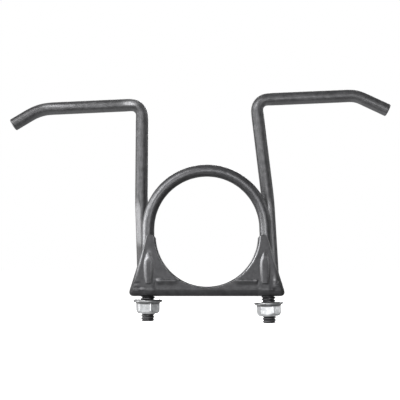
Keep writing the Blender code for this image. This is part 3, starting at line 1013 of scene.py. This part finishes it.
def build_nut(name, node, body, joint_name, material):
    joint = next(j for j in frame["joints"] if j["name"] == joint_name)
    tilt = Vector((0, 0, 1)).rotation_difference(Vector(joint["axis"])).to_matrix()
    turn = np.array(tilt @ Matrix.Rotation(NUT_TURN, 3, "Z"))
    local = nut_rings()
    rings = local @ turn.T + np.array(joint["pos_m"])
    mesh = skin(name, rings, NUT_SHARP, joined=True)
    store(mesh, "lay", "FLOAT_VECTOR", rings)
    # painted shade at the rim and in the fillet under the flange
    rim = smoothstep(*RIM_SHADE_RISE, np.hypot(local[..., 0], local[..., 1]))
    depth = -local[..., 2]
    fillet = smoothstep(*FILLET_SHADE_RISE, depth) * smoothstep(*FILLET_SHADE_END, depth)
    store(mesh, "wear_and_painted_light", "FLOAT", np.clip(RIM_SHADE * rim + FILLET_SHADE * fillet, 0, 1))
    return add_piece(name, mesh, body, "nut_zinc", material, node)


# ---------------------------------------------------------------- welds

WELD_SIDES = 32
WELD_SHARP = 80  # degrees
WELD_SPREAD = 1.45  # how far the fillet runs along its faces, against the CAD bead's radius
WELD_CROWN = 0.80  # how far it stands out of the joint
WELD_SINK = 0.0005  # how far it leans into the joint
RIPPLE = 0.0013
RIPPLE_DEPTH = 0.045
RIPPLE_RINGS = 14  # rings of points in each ripple
RIPPLE_CURVE = 0.45  # how far a ripple's crescent lags at the bead's edges, in ripples
RIPPLE_LEAN = 0.7  # below 1, a ripple's crest leans to one side
WANDER_SCALE = 6
WANDER_SEED = 3
BEAD_SPACING = 100  # spaces the beads apart in the noise, so that no two wander alike
WANDER_RIPPLES = 0.3
WANDER_SIZE = 0.12
END_ROUNDNESS = 6
END_LEAST = 0.03


def build_weld(node, material):
    """A fillet weld between rod and wall: a flat bead across the joint, laid in crescent ripples."""
    low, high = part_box(node)
    middle = (low + high) / 2
    radius = (high.y - low.y) / 2
    length = high.z - low.z
    rod = spine_of(node.split("_rod_")[0] + "_hanger_rod")[0]
    nearest = rod[np.argmin(np.abs(rod[:, 2] - middle.z))]
    to_rod = math.copysign(1.0, nearest[0] - middle.x)
    out = Vector((-to_rod, 1.0, 0.0)).normalized()  # out of the joint, between rod and wall
    along_faces = Vector((to_rod, 1.0, 0.0)).normalized()

    count = int(length / RIPPLE * RIPPLE_RINGS)
    heights = np.linspace(0.0, 1.0, count)[:, None]
    angles = ring_angles(WELD_SIDES)
    noise_at = np.stack([heights[:, 0] * WANDER_SCALE, np.full(count, middle.x * BEAD_SPACING),
                         np.zeros(count)], axis=1)
    wander = field_noise(noise_at, 1.0, WANDER_SEED)[:, None]
    crescent = (heights * length / RIPPLE + RIPPLE_CURVE * np.sin(angles) ** 2
                + WANDER_RIPPLES * wander) % 1.0
    ripple = 1 + RIPPLE_DEPTH * np.sin(math.pi * crescent ** RIPPLE_LEAN)
    ends = np.sqrt(np.clip(1 - np.abs(2 * heights - 1) ** END_ROUNDNESS, END_LEAST, 1))
    size = radius * ripple * ends * (1 + WANDER_SIZE * wander)
    spread = (WELD_SPREAD * size * np.sin(angles))[..., None] * np.array(along_faces)
    crown = (WELD_CROWN * size * np.cos(angles) - WELD_SINK)[..., None] * np.array(out)
    rings = spread + crown + np.array((middle.x, middle.y, 0.0))
    rings[..., 2] = high.z - heights * length
    mesh = skin(node + "_bead", rings, WELD_SHARP)
    store(mesh, "lay", "FLOAT_VECTOR", rings)
    return add_piece(node + "_bead", mesh, "saddle_and_rods", "weld_steel", material, node)


# ---------------------------------------------------------------- studio

WHITE = (1, 1, 1, 1)
FLOOR_GAP = 0.060
FLOOR_RADIUS = 6.0
FLOOR_SIDES = 64
FLOOR_COLOUR = (0.93, 0.93, 0.93, 1)
FLOOR_ROUGHNESS = 0.9
FLOOR_SPECULAR = 0.1
FLOOR_GLOW = 0.55

# the world's white, by the direction it comes from
WORLD_HEIGHTS = (-0.7, 0.9)
WORLD_BELOW = 0.88
WORLD_ABOVE = 0.80
WORLD_SIDES = (-0.9, 0.9)
WORLD_LEFT = 1.0
WORLD_RIGHT = 0.36

# (name, place, size, power)
LIGHTS = (("key", (-0.68, -0.80, 0.62), (0.60, 0.60), 13),
          ("left_strip", (-1.00, -0.10, 0.15), (0.35, 1.00), 7),
          ("right_strip", (1.00, 0.30, 0.20), (0.15, 0.80), 1.2),
          ("front_fill", (0.10, -1.40, 0.05), (0.90, 0.50), 8),
          ("back_fill", (0.15, 1.30, 0.55), (0.90, 0.60), 12),
          ("right_fill", (1.20, -0.20, 0.60), (0.50, 0.40), 1.2))
LIGHT_AIM = Vector((0, 0, 0.02))
CAMERA_AT = Vector((0.0, -0.600, -0.016))
CAMERA_AIM = Vector((-0.0050, 0.0, 0.02565))
CAMERA_LENS = 73.6
CAMERA_SENSOR = 36.0
CAMERA_CLIP = 0.01


def build_floor():
    """A pale round floor below the clamp, which hangs clear of it."""
    low, _ = cad_box
    bm = bmesh.new()
    bmesh.ops.create_circle(bm, cap_ends=True, segments=FLOOR_SIDES, radius=FLOOR_RADIUS)
    bmesh.ops.translate(bm, verts=bm.verts, vec=(0, 0, low.z - FLOOR_GAP))
    mesh = bpy.data.meshes.new("floor")
    bm.to_mesh(mesh)
    bm.free()
    floor = bpy.data.objects.new("floor", mesh)
    bpy.context.scene.collection.objects.link(floor)
    material, _, shader = new_material("pale_floor")
    shader.inputs["Base Color"].default_value = FLOOR_COLOUR
    shader.inputs["Roughness"].default_value = FLOOR_ROUGHNESS
    shader.inputs["Specular IOR Level"].default_value = FLOOR_SPECULAR
    shader.inputs["Emission Color"].default_value = WHITE
    shader.inputs["Emission Strength"].default_value = FLOOR_GLOW
    mesh.materials.append(material)
    floor.visible_glossy = False
    floor.visible_diffuse = False


def turned_to(place, target):
    """The rotation that points a light or a camera from its place at a target."""
    return (target - place).to_track_quat("-Z", "Y").to_euler()


def area_light(name, place, size, power):
    data = bpy.data.lights.new(name, "AREA")
    data.shape = "RECTANGLE"
    data.size, data.size_y = size
    data.energy = power
    light = bpy.data.objects.new(name, data)
    light.location = place
    light.rotation_euler = turned_to(Vector(place), LIGHT_AIM)
    bpy.context.scene.collection.objects.link(light)


def build_world():
    """A soft graded white that lights the clamp, and plain white where nothing is in view."""
    world = bpy.data.worlds.new("studio")
    bpy.context.scene.world = world
    world.use_nodes = True
    tree = world.node_tree
    glow = tree.nodes["Background"]
    glow.inputs["Color"].default_value = WHITE
    direction = tree.nodes.new("ShaderNodeTexCoord").outputs["Generated"]
    split = tree.nodes.new("ShaderNodeSeparateXYZ")
    tree.links.new(direction, split.inputs[0])
    height = ramp(tree, split.outputs["Z"], *WORLD_HEIGHTS, WORLD_BELOW, WORLD_ABOVE)
    across = ramp(tree, split.outputs["X"], *WORLD_SIDES, WORLD_LEFT, WORLD_RIGHT)
    tree.links.new(math_node(tree, "MULTIPLY", height, across), glow.inputs["Strength"])
    seen = tree.nodes.new("ShaderNodeBackground")
    seen.inputs["Color"].default_value = WHITE
    seen.inputs["Strength"].default_value = 1.0
    path = tree.nodes.new("ShaderNodeLightPath")
    mix = tree.nodes.new("ShaderNodeMixShader")
    tree.links.new(path.outputs["Is Camera Ray"], mix.inputs["Fac"])
    tree.links.new(glow.outputs[0], mix.inputs[1])
    tree.links.new(seen.outputs[0], mix.inputs[2])
    tree.links.new(mix.outputs[0], tree.nodes["World Output"].inputs["Surface"])


def build_camera():
    data = bpy.data.cameras.new("camera")
    data.lens = CAMERA_LENS
    data.sensor_width = CAMERA_SENSOR
    data.clip_start = CAMERA_CLIP
    camera = bpy.data.objects.new("camera", data)
    camera.location = CAMERA_AT
    camera.rotation_euler = turned_to(CAMERA_AT, CAMERA_AIM)
    bpy.context.scene.collection.objects.link(camera)
    bpy.context.scene.camera = camera


def build_studio():
    build_world()
    for light in LIGHTS:
        area_light(*light)
    bpy.context.scene.view_settings.view_transform = "Standard"
    build_camera()


# ---------------------------------------------------------------- the clamp

rod_steel = mill_scale_steel("rod_steel", dark=(0.058, 0.058, 0.060), light=(0.096, 0.096, 0.099),
                             bare_and_highlight=(0.36, 0.36, 0.37), rough=0.46, streaks=0.22, fleck=0.50)
bolt_steel = mill_scale_steel("bolt_steel", dark=(0.034, 0.034, 0.036), light=(0.060, 0.060, 0.063),
                              bare_and_highlight=(0.30, 0.30, 0.31), rough=0.42, streaks=0.22, fleck=0.38)
saddle_steel = mill_scale_steel("saddle_steel", dark=(0.046, 0.046, 0.048),
                                light=(0.068, 0.068, 0.071), bare_and_highlight=(0.34, 0.34, 0.35),
                                rough=0.52, streaks=0.0, fleck=0.26)
zinc = bright_zinc()
weld = weld_metal()

build_saddle(saddle_steel)
build_u_bolt(bolt_steel)
build_rod("left_hanger_rod", LEFT_FACET, rod_steel)
build_rod("right_hanger_rod", RIGHT_FACET, rod_steel)
build_nut("left_hex_nut", "left_flange_nut", "left_nut", "left_nut_turn", zinc)
build_nut("right_hex_nut", "right_flange_nut", "right_nut", "right_nut_turn", zinc)
for weld_node in ("left_rod_inner_weld", "left_rod_outer_weld",
                  "right_rod_inner_weld", "right_rod_outer_weld"):
    build_weld(weld_node, weld)
build_floor()
build_studio()
